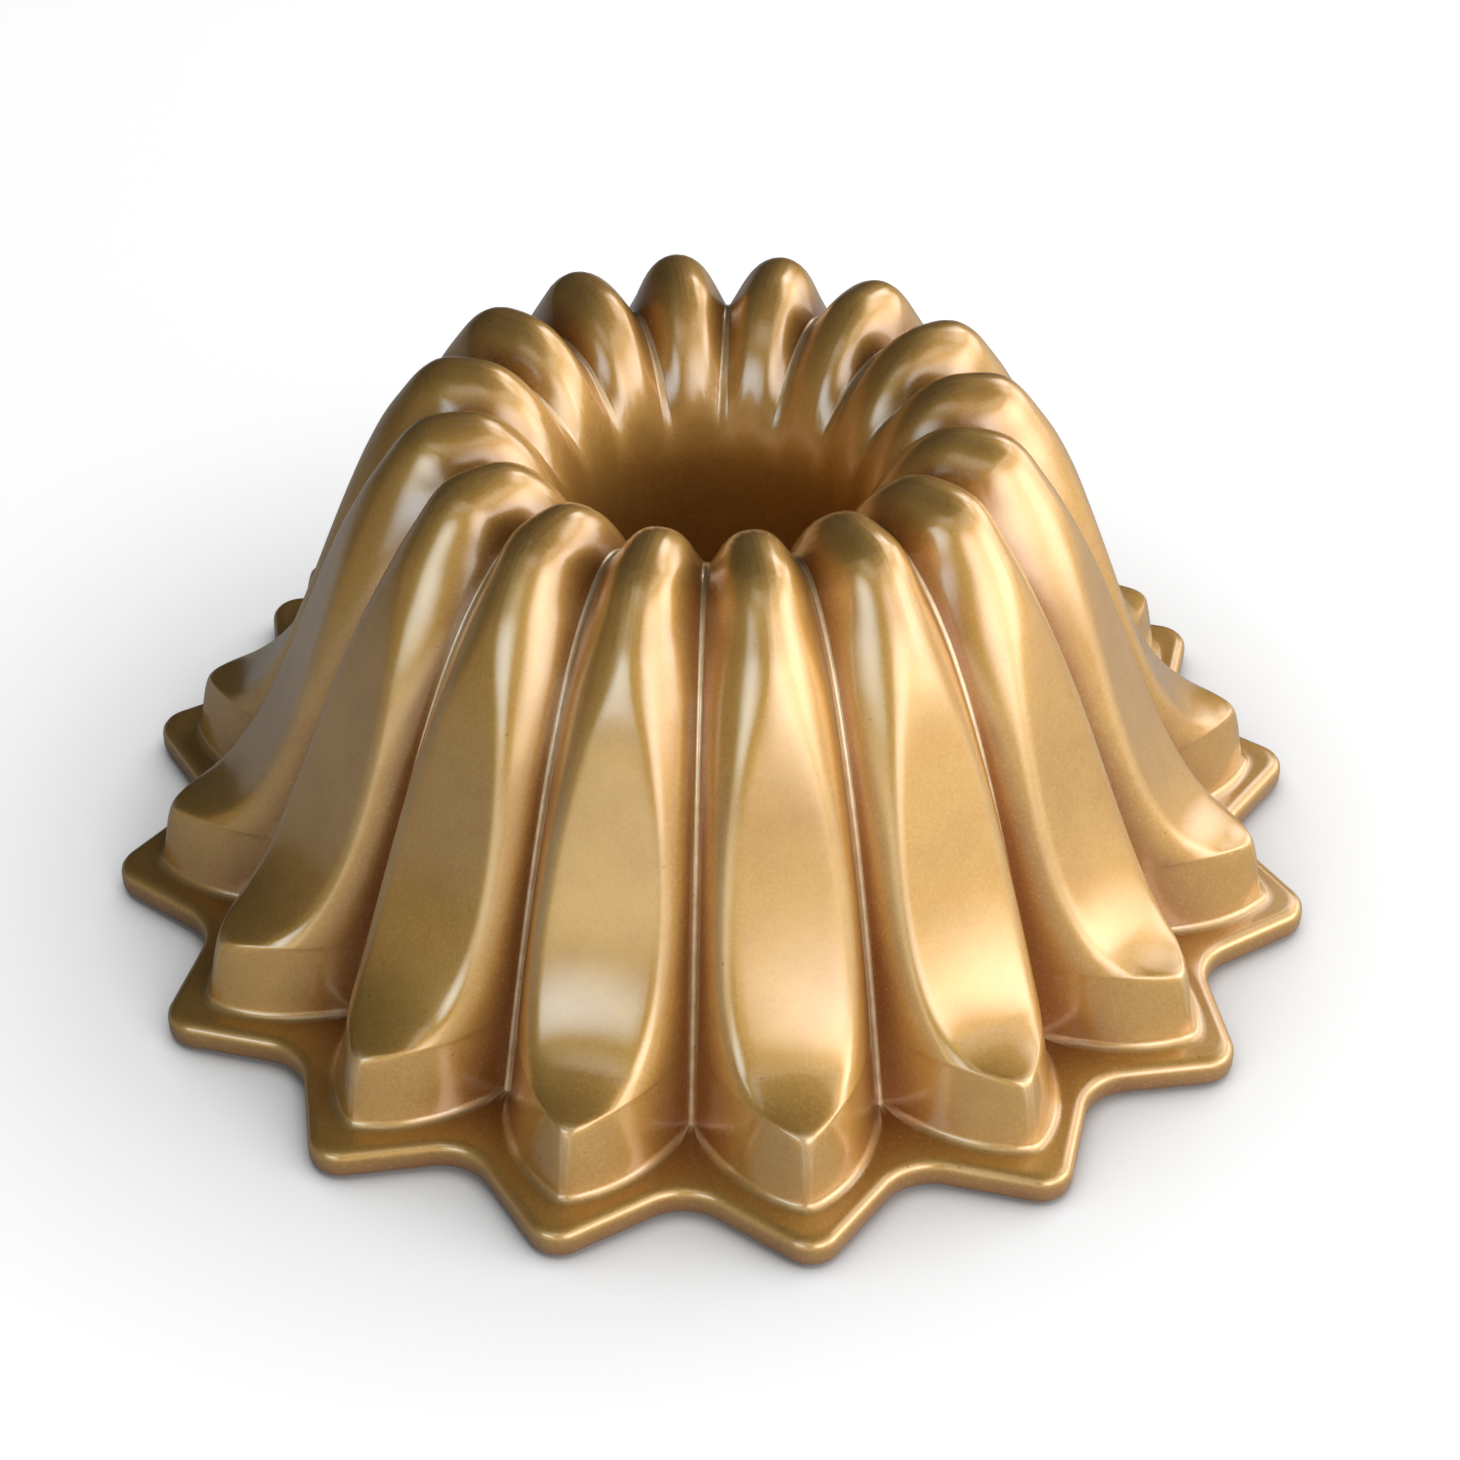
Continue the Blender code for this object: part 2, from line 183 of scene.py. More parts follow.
def bezier(points, t):
    """Points of a quadratic or cubic curve at the parameters t."""
    t = np.asarray(t, dtype=float)[..., None]
    points = [np.array(p, dtype=float) for p in points]
    while len(points) > 1:
        points = [(1 - t) * a + t * b for a, b in zip(points, points[1:])]
    return points[0]


PANEL_FOOT = (SKIRT_TOP_TIP_RADIUS, SKIRT_TOP)
PANEL_APEX = (PANEL_APEX_RADIUS, PANEL_APEX_HEIGHT)
CROWN = (CROWN_RADIUS, CROWN_HEIGHT)
VALLEY_FOOT = (SKIRT_VALLEY_RADIUS, FLANGE_THICKNESS)
SADDLE = (SADDLE_RADIUS, SADDLE_HEIGHT)
TUBE_TOP = (TUBE_TOP_RADIUS, TUBE_TOP_HEIGHT)

PANEL_CURVE = (
    PANEL_FOOT,
    polar_step(PANEL_FOOT, PANEL_FOOT_REACH, PANEL_FOOT_SLOPE),
    polar_step(PANEL_APEX, -PANEL_APEX_REACH, PANEL_APEX_SLOPE),
    PANEL_APEX,
)
CROWN_CURVE = (
    PANEL_APEX,
    polar_step(PANEL_APEX, CROWN_OUTER_REACH, PANEL_APEX_SLOPE),
    (CROWN_RADIUS + CROWN_OUTER_REACH, CROWN_HEIGHT),
    CROWN,
)
RIDGE_TUBE_CURVE = (
    CROWN,
    (CROWN_RADIUS - CROWN_INNER_REACH, CROWN_HEIGHT),
    polar_step(TUBE_TOP, -RIDGE_TUBE_REACH, -TUBE_SLOPE),
    TUBE_TOP,
)
VALLEY_CURVE = (
    VALLEY_FOOT,
    polar_step(VALLEY_FOOT, VALLEY_FOOT_REACH, VALLEY_FOOT_SLOPE),
    (SADDLE_RADIUS + SADDLE_OUTER_REACH, SADDLE_HEIGHT),
    SADDLE,
)
VALLEY_TUBE_CURVE = (
    SADDLE,
    (SADDLE_RADIUS - SADDLE_INNER_REACH, SADDLE_HEIGHT),
    polar_step(TUBE_TOP, -VALLEY_TUBE_REACH, -TUBE_SLOPE),
    TUBE_TOP,
)
CURVE_SAMPLES = 401
CURVE_STEPS = np.linspace(0.0, 1.0, CURVE_SAMPLES)
VALLEY_HEIGHTS = bezier(VALLEY_CURVE, CURVE_STEPS)[:, 1]
PANEL_TRAVEL = np.linalg.norm(bezier(PANEL_CURVE, CURVE_STEPS) - np.array(PANEL_FOOT), axis=1)

# Stations where the rounded corner between skirt and panel begins and ends
CORNER_START = PANEL_START - SKIRT_TOP_ROUND / SKIRT_HEIGHT
CORNER_END = PANEL_START + float(np.interp(SKIRT_TOP_ROUND, PANEL_TRAVEL, CURVE_STEPS))


def valley_at(height):
    """Point of the outer valley line at a height."""
    return bezier(VALLEY_CURVE, np.interp(height, VALLEY_HEIGHTS, CURVE_STEPS))


def sharp_ridge(station):
    """Ridge point and half width of the flat on the skirt or panel, with a sharp corner between."""
    if station < PANEL_START:
        radius = SKIRT_TIP_RADIUS + (SKIRT_TOP_TIP_RADIUS - SKIRT_TIP_RADIUS) * station
        return np.array([radius, FLANGE_THICKNESS + SKIRT_HEIGHT * station]), SKIRT_TIP_HALF_WIDTH
    t = station - PANEL_START
    u = math.sqrt(t)
    leaf = 3 * (1 - u) ** 2 * u * PANEL_FOOT_FULLNESS + 3 * (1 - u) * u * u * PANEL_APEX_FULLNESS
    least = SKIRT_TIP_HALF_WIDTH + (CREST_HALF_WIDTH - SKIRT_TIP_HALF_WIDTH) * t
    return bezier(PANEL_CURVE, t), math.hypot(leaf, least)


def guide_points(station):
    """Valley point, ridge point and half width of the flat along a petal.

    A station from 0 to 1 is on the skirt, from 1 to 2 on the panel, from 2 to 3
    on the crown and from 3 to 4 on the way down to the tube. The corner between
    skirt and panel is rounded.
    """
    if station > FUNNEL_START:
        t = station - FUNNEL_START
        return bezier(VALLEY_TUBE_CURVE, t), bezier(RIDGE_TUBE_CURVE, t), CREST_HALF_WIDTH
    if station > CROWN_START:
        t = station - CROWN_START
        start = float(np.interp(PANEL_APEX_HEIGHT, VALLEY_HEIGHTS, CURVE_STEPS))
        return bezier(VALLEY_CURVE, start + (1.0 - start) * t), bezier(CROWN_CURVE, t), CREST_HALF_WIDTH
    if CORNER_START < station < CORNER_END:
        share = (station - CORNER_START) / (CORNER_END - CORNER_START)
        low, low_width = sharp_ridge(CORNER_START)
        high, high_width = sharp_ridge(CORNER_END)
        ridge = bezier((low, PANEL_FOOT, high), share)
        half_width = low_width + (high_width - low_width) * share ** 2
    else:
        ridge, half_width = sharp_ridge(station)
    return valley_at(ridge[1]), ridge, half_width


def blend(low, high, share):
    """Straight blend between two values, with the share kept from 0 to 1."""
    share = min(max(share, 0.0), 1.0)
    return low + (high - low) * share


def half_section(station):
    """The wall curve and the ridge point of half a petal section, in the petal's frame.

    The wall arrives at the edge of the flat at an angle that eases from the skirt's
    to the panel's, and near the apex to the crest's. The edge is level with the ridge
    on the panel, and sags below it towards the skirt and the crown.
    """
    valley, ridge, half_width = guide_points(station)
    rise = ridge - valley
    height = math.hypot(*rise)
    along = rise / height if height > LEAST_RISE else np.zeros(2)
    fade = min(1.0, height / (CROWN_HEIGHT - SADDLE_HEIGHT))
    crest_angle = math.pi / 2 - math.asin(CREST_HALF_WIDTH / CREST_RADIUS) * fade
    open_angle = math.atan2(valley[0] * HALF_PITCH, GROOVE_STEEPNESS * height)
    groove = blend(GROOVE_ANGLE, open_angle, station - GROOVE_OPENING_STATION)
    to_foot = max(0.0, CROWN_START - station) ** FOOT_FADE_POWER if station > PANEL_START else 1.0
    to_apex = max(0.0, station - PANEL_START) ** APEX_FADE_POWER if station < CROWN_START else 1.0
    to_apex *= 2.0 - to_apex
    edge = PANEL_WALL_ANGLE
    edge += (SKIRT_TIP_WALL_ANGLE - PANEL_WALL_ANGLE) * max(0.0, PANEL_START - station)
    edge += (crest_angle - PANEL_WALL_ANGLE) * to_apex
    sag = half_width * math.tan((math.pi / 2 - edge) / 2) * max(to_foot, to_apex)
    start = np.array([
        valley[0] * math.cos(HALF_PITCH), valley[0] * math.sin(HALF_PITCH), valley[1]])
    end = np.array([ridge[0] - along[0] * sag, half_width, ridge[1] - along[1] * sag])
    leave = math.cos(groove) * np.array([
        along[0] * math.cos(HALF_PITCH), along[0] * math.sin(HALF_PITCH), along[1]])
    leave += math.sin(groove) * np.array([math.sin(HALF_PITCH), -math.cos(HALF_PITCH), 0.0])
    arrive = np.array([math.cos(edge) * along[0], -math.sin(edge), math.cos(edge) * along[1]])
    handle = SECTION_HANDLE * np.linalg.norm(end - start)
    wall = (start, start + handle * leave, end - handle * arrive, end)
    return wall, np.array([ridge[0], 0.0, ridge[1]])


def unit(vector):
    """Vectors along the last axis, at length one."""
    return vector / np.linalg.norm(vector, axis=-1, keepdims=True)


def stations_around(station):
    """Two stations close below and above one, both on the petal."""
    low = min(max(station - NORMAL_STEP, 0.0), FUNNEL_END - 2 * NORMAL_STEP)
    return low, low + 2 * NORMAL_STEP


def wall_normals(station, t):
    """Outward normals of the petal's side wall at the parameters t."""
    low, high = stations_around(station)
    up = bezier(half_section(high)[0], t) - bezier(half_section(low)[0], t)
    near = np.clip(t - NORMAL_STEP, 0.0, 1.0 - 2 * NORMAL_STEP)
    wall = half_section(station)[0]
    across = bezier(wall, near + 2 * NORMAL_STEP) - bezier(wall, near)
    return unit(np.cross(up, across))


def profile_normals(station):
    """Outward normals of the valley line and the ridge line, in the petal's frame."""
    low, high = stations_around(station)
    valley_run = unit(guide_points(high)[0] - guide_points(low)[0])
    ridge_run = unit(guide_points(high)[1] - guide_points(low)[1])
    valley_normal = np.array([
        valley_run[1] * math.cos(HALF_PITCH), valley_run[1] * math.sin(HALF_PITCH), -valley_run[0]])
    return valley_normal, np.array([ridge_run[1], 0.0, -ridge_run[0]])


def step_lengths(path):
    """Lengths of a polyline's steps."""
    return np.linalg.norm(np.diff(path, axis=0), axis=1)


def along_path(path, distances):
    """Points of a polyline at distances from its start."""
    travel = np.concatenate([[0.0], np.cumsum(step_lengths(path))])
    return np.stack([np.interp(distances, travel, path[:, axis]) for axis in range(3)], axis=-1)


def round_corner(groove, wall, ridge, reach):
    """Half a row: the groove's arc, the wall, a rounded edge and the top to the ridge.

    The wall's last point is the sharp edge, which is rounded back by the reach. The
    top is level across the ridge, and bends down to an edge that lies lower.
    """
    corner = wall[-1]
    across = ridge + np.array([0.0, corner[1] / 2, 0.0])
    top = bezier((corner, across, ridge), np.linspace(0.0, 1.0, TOP_SAMPLES))
    length = step_lengths(wall).sum()
    width = step_lengths(top).sum()
    reach = min(reach, ROUND_TOP_SHARE * width, ROUND_WALL_SHARE * length)
    side = along_path(wall, np.linspace(0.0, length - reach, WALL_POINTS + 1))
    rest = along_path(top, np.linspace(reach, width, TOP_POINTS + 1))
    edge = bezier((side[-1], corner, rest[0]), np.linspace(0.0, 1.0, EDGE_POINTS))
    return np.vstack([groove, side[:-1], edge, rest[1:]])


def groove_arc(wall):
    """Points of the fillet in the bottom of the groove, up to where the wall begins."""
    leave = unit(wall[1] - wall[0])
    plane_normal = np.array([math.sin(HALF_PITCH), -math.cos(HALF_PITCH), 0.0])
    sideways = leave @ plane_normal
    outward = unit(leave - sideways * plane_normal)
    radius = GROOVE_FILLET_REACH * sideways / math.sqrt(1.0 - sideways ** 2)
    centre = wall[0] + outward * GROOVE_FILLET_REACH / math.sqrt(1.0 - sideways ** 2)
    turn = math.pi / 2 - math.asin(sideways)
    angles = np.linspace(0.0, turn, GROOVE_POINTS + 1)[:-1, None]
    return centre + radius * (np.sin(angles) * plane_normal - np.cos(angles) * outward)


def outer_row(station):
    """Half a row of the outer surface, from the valley to the ridge."""
    wall, ridge = half_section(station)
    samples = bezier(wall, np.linspace(0.0, 1.0, WALL_SAMPLES))
    length = step_lengths(samples).sum()
    rest = along_path(samples, np.linspace(GROOVE_FILLET_REACH, length, WALL_SAMPLES))
    above_skirt = (station - CORNER_START) / (CORNER_END - CORNER_START)
    reach = blend(SKIRT_NOSE_ROUND, PANEL_EDGE_ROUND, above_skirt)
    return round_corner(groove_arc(wall), rest, ridge, reach)


def turned_level(normals):
    """Normals laid level, and lengthened so that the wall keeps its thickness."""
    flat = normals * np.array([1.0, 1.0, 0.0])
    stretch = (normals * normals).sum(-1, keepdims=True)
    return flat * stretch / (normals[:, :2] ** 2).sum(-1, keepdims=True)


def inner_row(station, level=False):
    """Half a row of the inner surface, one wall thickness inside the outer one.

    A level row keeps the height of its outer row.
    """
    wall, ridge = half_section(station)
    t = np.linspace(0.0, 1.0, WALL_SAMPLES)
    samples = bezier(wall, t)
    normals = wall_normals(station, t)
    valley_normal, ridge_normal = profile_normals(station)
    mitre = (normals[-1] + ridge_normal) / (1.0 + normals[-1] @ ridge_normal)
    corner_normals = np.vstack([mitre, ridge_normal])
    shares = np.linspace(0.0, 1.0, GROOVE_POINTS + 1)[:-1, None]
    groove_normals = unit(valley_normal * (1.0 - shares) + normals[0] * shares)
    if level:
        normals = turned_level(normals)
        corner_normals = turned_level(corner_normals)
        groove_normals = turned_level(groove_normals)
    corner = samples[-1] - WALL * corner_normals[0]
    trim = WALL * math.sqrt(max(0.0, mitre @ mitre - 1.0))
    from_edge = np.linalg.norm(samples - samples[-1], axis=1)
    kept = from_edge > INNER_TRIM_MARGIN * trim
    kept[0] = True
    side = np.vstack([(samples - WALL * normals)[kept], corner])
    ridge_point = ridge - WALL * corner_normals[1]
    return round_corner(wall[0] - WALL * groove_normals, side, ridge_point, INNER_EDGE_ROUND)


def arc(radius, angles):
    """Points of a circle round the origin at some angles."""
    return radius * np.stack([np.cos(angles), np.sin(angles)], -1)


def star_outline(inset):
    """Half a point of the rim star, from the valley to the tip, at evenly spread points."""
    tip = np.array([FLANGE_TIP_RADIUS, 0.0])
    valley = FLANGE_VALLEY_RADIUS * np.array([math.cos(HALF_PITCH), math.sin(HALF_PITCH)])
    side = unit(tip - valley)
    normal = np.array([-side[1], side[0]])
    side_angle = math.atan2(normal[1], normal[0])
    valley_span = side_angle - HALF_PITCH
    tip_centre = tip - side * FLANGE_TIP_FILLET * math.tan(side_angle) - normal * FLANGE_TIP_FILLET
    valley_centre = valley + side * FLANGE_VALLEY_FILLET * math.tan(valley_span)
    valley_centre = valley_centre + normal * FLANGE_VALLEY_FILLET
    arc_points = ROW_POINTS // 2
    hollow_turn = HALF_PITCH + math.pi + valley_span * np.linspace(0.0, 1.0, arc_points)
    hollow = valley_centre + arc(FLANGE_VALLEY_FILLET + inset, hollow_turn)
    point_turn = side_angle * np.linspace(1.0, 0.0, ROW_POINTS - arc_points)
    point = tip_centre + arc(FLANGE_TIP_FILLET - inset, point_turn)
    return np.vstack([hollow, point])


def at_height(outline, height):
    """A flat outline as points at a height."""
    return np.column_stack([outline[:, :2], np.full(len(outline), height)])


def flange_rows():
    """Half rows round the flange's edge, from the underside up to the top."""
    rows = []
    for angle in np.linspace(math.pi / 2, 0.0, ARC_ROWS):
        inset = FLANGE_EDGE_ROUND * (1.0 - math.cos(angle))
        rows.append(at_height(star_outline(inset), FLANGE_EDGE_ROUND * (1.0 - math.sin(angle))))
    for angle in np.linspace(0.0, math.pi / 2, ARC_ROWS):
        inset = FLANGE_EDGE_ROUND * (1.0 - math.cos(angle))
        height = FLANGE_THICKNESS - FLANGE_EDGE_ROUND * (1.0 - math.sin(angle))
        rows.append(at_height(star_outline(inset), height))
    return rows


def foot_rows():
    """Half rows down the fillet between the flange's top and the skirt, outside first."""
    base = outer_row(0.0)
    run = np.gradient(base[:, :2], axis=0)
    normals = unit(np.column_stack([-run[:, 1], run[:, 0], np.zeros(len(run))]))
    normals[-1] = (1.0, 0.0, 0.0)
    gap = base[:, 0] * math.sin(HALF_PITCH) - base[:, 1] * math.cos(HALF_PITCH)
    reach = np.minimum(SKIRT_FILLET, SKIRT_FILLET_GAP_SHARE * gap)[:, None]
    rows = []
    for angle in np.linspace(0.0, math.pi / 2, ARC_ROWS + 1)[:-1]:
        share = SKIRT_FILLET / SKIRT_HEIGHT * (1.0 - math.cos(angle))
        rows.append(outer_row(share) + normals * reach * (1.0 - math.sin(angle)))
    return rows


def between(low, high, count):
    """Half rows spread evenly between two half rows, both left out."""
    return [low + (high - low) * share for share in np.linspace(0.0, 1.0, count + 2)[1:-1]]


def eased(rows, first, last, passes):
    """Half rows with their bends along the petal softened between two of them."""
    rows = np.array(rows)
    for _ in range(passes):
        rows[first:last] = (rows[first - 1:last - 1] + 2 * rows[first:last] + rows[first + 1:last + 1]) / 4
    return list(rows)


def tube_rows():
    """Half rows of circles down the bore, round the tube's end and up its outer side."""
    side = WALL / math.sin(TUBE_SLOPE)
    end = TUBE_END_HEIGHT + WALL / 2
    profile = [
        (blend(TUBE_TOP_RADIUS, TUBE_END_RADIUS, share), blend(TUBE_TOP_HEIGHT, end, share))
        for share in np.linspace(0.0, 1.0, TUBE_ROWS + 1)]
    profile += [
        (TUBE_END_RADIUS + side / 2 * (1.0 - math.cos(angle)), end - WALL / 2 * math.sin(angle))
        for angle in np.linspace(0.0, math.pi, 2 * ARC_ROWS + 1)[1:-1]]
    profile += [(radius + side, height) for radius, height in profile[TUBE_ROWS::-1]]
    circle = arc(1.0, HALF_PITCH * np.linspace(1.0, 0.0, ROW_POINTS))
    return [at_height(circle * radius, height) for radius, height in profile]


def spread(low, high, count):
    """Numbers spread evenly from low, which is left out, to high."""
    return list(np.linspace(low, high, count + 1)[1:])


def outer_stations():
    """Stations of the outer rows, closer together at both ends of the panel."""
    stations = list(np.linspace(SKIRT_FILLET / SKIRT_HEIGHT, CORNER_START, SKIRT_ROWS))
    stations += spread(CORNER_START, CORNER_END, CORNER_ROWS)
    for share in spread(0.0, 1.0, PANEL_ROWS):
        crowded = share - PANEL_ROW_CROWDING * math.sin(math.tau * share) / math.tau
        stations.append(CORNER_END + (CROWN_START - CORNER_END) * crowded)
    stations += spread(CROWN_START, FUNNEL_START, CROWN_ROWS)
    return stations + spread(FUNNEL_START, FUNNEL_END, FUNNEL_ROWS)[:-1]


def outer_rows():
    """Half rows up the outside and down the funnel, softened at the panel's foot and apex."""
    stations = outer_stations()
    rows = [outer_row(station) for station in stations]
    first, last = np.searchsorted(stations, (APEX_EASE_START, APEX_EASE_END))
    rows = eased(rows, first, last, APEX_EASE_PASSES)
    first, last = np.searchsorted(stations, (FOOT_EASE_START, FOOT_EASE_END))
    return eased(rows, first, last, FOOT_EASE_PASSES)


def inner_rows():
    """Half rows on the inside, up from the tube to the crown and down to the mouth."""
    stations = spread(FUNNEL_END, CROWN_START, INNER_TOP_ROWS)
    stations += spread(CROWN_START, INNER_FOOT_STATION, INNER_PANEL_ROWS)
    rows = [inner_row(station) for station in stations]
    corner = inner_row(PANEL_START - WALL / SKIRT_HEIGHT, level=True)
    mouth = inner_row(0.0, level=True)
    rows += between(rows[-1], corner, INNER_CORNER_ROWS) + [corner]
    rows += between(corner, mouth, INNER_SKIRT_ROWS) + [mouth]
    rows.append(at_height(mouth, MOUTH_ROUND))
    widened = at_height(mouth * (1.0 + MOUTH_ROUND / SKIRT_VALLEY_RADIUS), 0.0)
    return rows + between(rows[-1], widened, MOUTH_ROWS) + [widened]


def skin_rows():
    """All half rows of the closed skin: up outside, down the bore, up and down inside."""
    flange = flange_rows()
    foot = foot_rows()
    top = between(flange[-1], foot[0], FLANGE_TOP_ROWS)
    inner = inner_rows()
    under = between(inner[-1], flange[0], FLANGE_UNDER_ROWS)
    return flange + top + foot + outer_rows() + tube_rows() + inner + under


def ring_loop(half_row):
    """A closed loop round the pan from half a petal row, mirrored and repeated."""
    petal = np.vstack([half_row * np.array([1.0, -1.0, 1.0]), half_row[-2:0:-1]])
    loops = []
    for index in range(PETALS):
        angle = (2 * index + 1) * HALF_PITCH
        turn = np.array([
            [math.cos(angle), math.sin(angle), 0.0],
            [-math.sin(angle), math.cos(angle), 0.0],
            [0.0, 0.0, 1.0]])
        loops.append(petal @ turn)
    return np.vstack(loops)


def bend(points, normals, axis):
    """Curvature of the skin's grid along one of its two ways: above zero on edges, below in hollows."""
    ahead, behind = -1, 1
    step = np.roll(points, ahead, axis) - np.roll(points, behind, axis)
    turn = np.roll(normals, ahead, axis) - np.roll(normals, behind, axis)
    return (step * turn).sum(-1) / np.maximum((step * step).sum(-1), LEAST_STEP_SQUARED)


def mark_bends(mesh, rows, count):
    """Stores how sharp the skin's edges and hollows are, for the finish to paint them paler as wear and
    highlight.
    """
    points = np.empty(rows * count * 3)
    mesh.vertices.foreach_get("co", points)
    normals = np.empty(rows * count * 3)
    mesh.vertex_normals.foreach_get("vector", normals)
    points, normals = points.reshape(rows, count, 3), normals.reshape(rows, count, 3)
    around, along = bend(points, normals, 1), bend(points, normals, 0)
    edge = np.clip(np.maximum(around, along) * SHARP_BEND_RADIUS, 0.0, 1.0)
    hollow = np.clip(-np.minimum(around, along) * SHARP_BEND_RADIUS, 0.0, 1.0)
    for name, values in (("edge", edge), ("hollow", hollow)):
        layer = mesh.attributes.new(name, "FLOAT", "POINT")
        layer.data.foreach_set("value", values.ravel())


def skin_mesh(name):
    """The closed skin as a grid of quads that wraps both ways."""
    loops = [ring_loop(row) for row in skin_rows()]
    rows, count = len(loops), len(loops[0])
    low, j = np.meshgrid(np.arange(rows), np.arange(count), indexing="ij")
    high, k = (low + 1) % rows, (j + 1) % count
    quads = np.stack([low * count + j, low * count + k, high * count + k, high * count + j], -1)
    mesh = bpy.data.meshes.new(name)
    mesh.from_pydata(np.vstack(loops).tolist(), [], quads.reshape(-1, 4).tolist())
    mesh.shade_smooth()
    mark_bends(mesh, rows, count)
    return mesh


pan = bpy.data.objects.new("pan_casting", skin_mesh("pan_casting"))
bpy.context.scene.collection.objects.link(pan)
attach(pan, "root")
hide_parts("rim_flange", "fluted_wall", "crown", "centre_tube")


# Colours of the finish; the deep tone also serves as painted shade in recesses, the pale tone as painted
# highlight on edges and grooves
GOLD = (0.79, 0.445, 0.10, 1.0)
DEEP_GOLD = (0.42, 0.165, 0.028, 1.0)
PALE_GOLD = (1.0, 0.80, 0.50, 1.0)

# Noises of the finish
GRAIN = {"Scale": 1500.0, "Detail": 2.0, "Roughness": 0.6}
PEEL = {"Scale": 260.0, "Detail": 2.0, "Roughness": 0.5}
MOTTLE = {"Scale": 45.0, "Detail": 4.0, "Roughness": 0.6}
PIT_SCALE = 140.0

# Where each part of the finish shows, as a range of its noise or measure, and how strongly
PIT_RANGE = (0.03, 0.06)
PIT_SHARE = 0.6
BRIGHT_GRAIN_RANGE = (0.52, 0.75)
DARK_GRAIN_RANGE = (0.46, 0.28)
GRAIN_SHARES = (0.0, 0.18)
MOTTLE_RANGE = (0.40, 0.72)
MOTTLE_DEPTHS = (0.0, 0.30)
# Painted shade: the gold turns deep in recesses found by ambient occlusion over this reach
PAINTED_SHADE_REACH = 0.022
PAINTED_SHADE_RANGE = (0.85, 0.35)
# Edges paler as wear and a painted highlight, hollows paler as a painted highlight line
EDGE_RANGE = (0.15, 0.6)
EDGE_SHARES = (0.0, 0.8)
EDGE_STRENGTHS_UP_SKIRT = (0.4, 1.0)
HOLLOW_RANGE = (0.35, 0.9)
HOLLOW_SHARES = (0.0, 0.7)
PATCHY_WEAR_AND_HIGHLIGHT_RANGE = (0.35, 0.6)
PATCHY_WEAR_AND_HIGHLIGHT_SHARES = (0.6, 1.0)

# Gloss and relief of the finish
GRAIN_ROUGH_RANGE = (0.3, 0.7)
ROUGHNESSES = (0.42, 0.52)
MOTTLE_ROUGH_RANGE = (0.35, 0.65)
MOTTLE_ROUGHNESSES = (-0.03, 0.03)
PEEL_RELIEF = 0.00003
GRAIN_RELIEF = 0.000012
METALLIC = 0.65
COAT_ROUGHNESS = 0.16
COAT_IOR = 2.0

# Shares that rise from nothing over a range, or fall to it
RISING = (0.0, 1.0)
FALLING = (1.0, 0.0)


def add_node(tree, kind, inputs=(), **settings):
    """A shader node with its settings, and values or links for its inputs."""
    made = tree.nodes.new(kind)
    for name, value in settings.items():
        setattr(made, name, value)
    for socket, value in dict(inputs).items():
        if isinstance(value, bpy.types.NodeSocket):
            tree.links.new(value, made.inputs[socket])
        else:
            made.inputs[socket].default_value = value
    return made


def noise(tree, place, look):
    """A noise at a place, with its look as values for its inputs."""
    return add_node(tree, "ShaderNodeTexNoise", {"Vector": place, **look}).outputs["Fac"]


def ranged(tree, value, source, target):
    """A value moved from one range to another, and held inside it."""
    inputs = {
        "Value": value,
        "From Min": source[0], "From Max": source[1],
        "To Min": target[0], "To Max": target[1]}
    return add_node(tree, "ShaderNodeMapRange", inputs).outputs["Result"]


def maths(tree, operation, first, second):
    """The result of a sum on two values."""
    return add_node(tree, "ShaderNodeMath", {0: first, 1: second}, operation=operation).outputs[0]


def mixed(tree, share, first, second):
    """Two colours mixed by a share, through the Mix node's sockets for colour."""
    inputs = {0: share, 6: first, 7: second}
    return add_node(tree, "ShaderNodeMix", inputs, data_type="RGBA").outputs[2]


def wear_and_painted_highlight_share(tree, place, peel):
    """How far the metal is painted paler: on edges, as wear and a painted highlight, less so low down, and
    in grooves, as a painted highlight line.
    """
    height = add_node(tree, "ShaderNodeSeparateXYZ", {"Vector": place}).outputs["Z"]
    up_skirt = ranged(tree, height, (FLANGE_THICKNESS, SKIRT_TOP), EDGE_STRENGTHS_UP_SKIRT)
    edge = add_node(tree, "ShaderNodeAttribute", attribute_name="edge").outputs["Fac"]
    edge = ranged(tree, maths(tree, "MULTIPLY", edge, up_skirt), EDGE_RANGE, EDGE_SHARES)
    hollow = add_node(tree, "ShaderNodeAttribute", attribute_name="hollow").outputs["Fac"]
    hollow = ranged(tree, hollow, HOLLOW_RANGE, HOLLOW_SHARES)
    patchy = ranged(tree, peel, PATCHY_WEAR_AND_HIGHLIGHT_RANGE, PATCHY_WEAR_AND_HIGHLIGHT_SHARES)
    return maths(tree, "MULTIPLY", maths(tree, "MAXIMUM", edge, hollow), patchy)


def deep_tone_and_painted_shade_share(tree, mottle):
    """How far the gold turns to its deep tone: in soft patches, and in recesses as painted shade."""
    patches = ranged(tree, mottle, MOTTLE_RANGE, MOTTLE_DEPTHS)
    painted_shade = add_node(tree, "ShaderNodeAmbientOcclusion", {"Distance": PAINTED_SHADE_REACH}).outputs["AO"]
    return maths(tree, "ADD", patches, ranged(tree, painted_shade, PAINTED_SHADE_RANGE, RISING))


